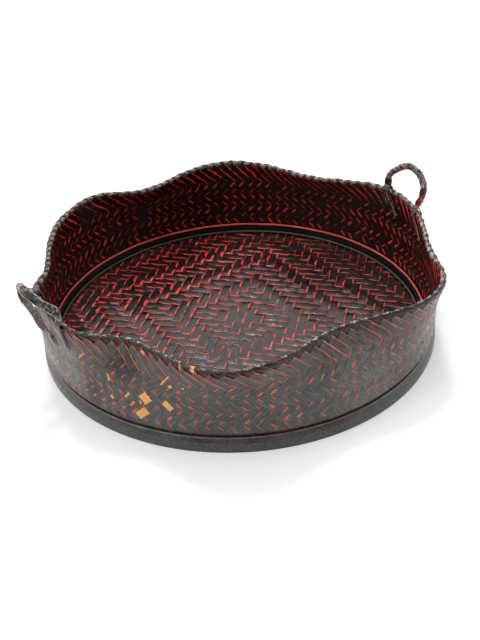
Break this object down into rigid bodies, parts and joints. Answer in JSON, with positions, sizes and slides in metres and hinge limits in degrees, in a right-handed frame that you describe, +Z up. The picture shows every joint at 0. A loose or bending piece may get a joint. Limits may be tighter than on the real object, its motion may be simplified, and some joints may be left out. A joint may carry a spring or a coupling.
{
  "type": "woven tray",
  "caption": "Round woven bamboo tray in black and red lacquer, with a smooth foot hoop, an upright wall flaring into a wavy lobed rim and two loop handles of twisted split strips",
  "frame": {"origin": "on the table, under the middle of the whole tray with both handles", "axes": "+Z up out of the tray, +X out through the upright handle, +Y across the handles"},
  "size_m": [0.3478, 0.33, 0.1097],
  "materials": {
    "woven_lacquer": "black lacquer over red on woven bamboo, glossy, red showing at the edges of the strips",
    "hoop_lacquer": "smooth satin black lacquer with a thin worn red upper edge",
    "cord_lacquer": "dark red-brown lacquer, satin",
    "strip_lacquer": "glossy black lacquer on split bamboo with red edges"
  },
  "bodies": {
    "root": {"foot_hoop": "hoop_lacquer", "outer_basket": "woven_lacquer", "inner_lining": "woven_lacquer", "floor_mat": "woven_lacquer", "inner_hoop": "hoop_lacquer", "floor_cord": "cord_lacquer", "rim_core": "cord_lacquer", "rim_binding": "woven_lacquer", "right_handle_strip_a": "strip_lacquer", "right_handle_strip_b": "strip_lacquer", "left_handle_strip_a": "strip_lacquer", "left_handle_strip_b": "strip_lacquer"}
  },
  "joints": []
}
